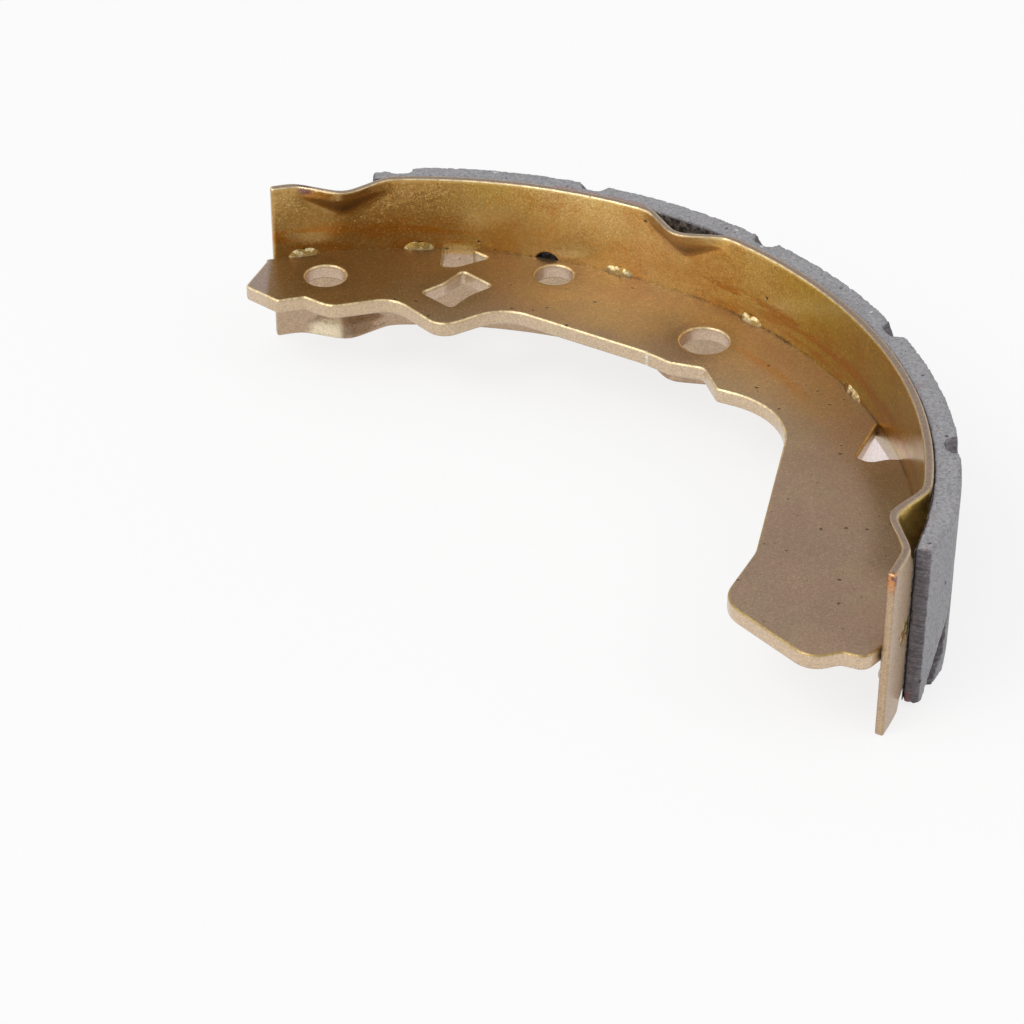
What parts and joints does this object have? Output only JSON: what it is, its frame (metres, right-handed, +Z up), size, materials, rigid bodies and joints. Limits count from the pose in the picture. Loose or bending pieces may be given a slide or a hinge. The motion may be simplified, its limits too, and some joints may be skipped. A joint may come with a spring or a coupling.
{
  "type": "drum brake shoe",
  "caption": "Curved steel drum brake shoe: dented rim on a flat notched web, with a slant-grooved friction lining bonded to the rim.",
  "frame": {"origin": "on the drum's axis, in the plane of the rim's lower edge, on which the shoe lies", "axes": "+Z up along the drum's axis; +X towards the wide half of the web; +Y towards the narrow half"},
  "size_m": [0.1336, 0.1442, 0.0346],
  "materials": {
    "rim": "glossy golden bronze metallic paint",
    "web": "glossy taupe bronze metallic paint",
    "plug_welds": "painted over, shiny",
    "lining": "matt ground composite with pale and dark flecks",
    "bond_film": "dark cured adhesive"
  },
  "bodies": {
    "root": {"rim": "rim", "web": "web", "plug_welds": "plug_welds", "lining": "lining", "bond_film": "bond_film"}
  },
  "joints": []
}
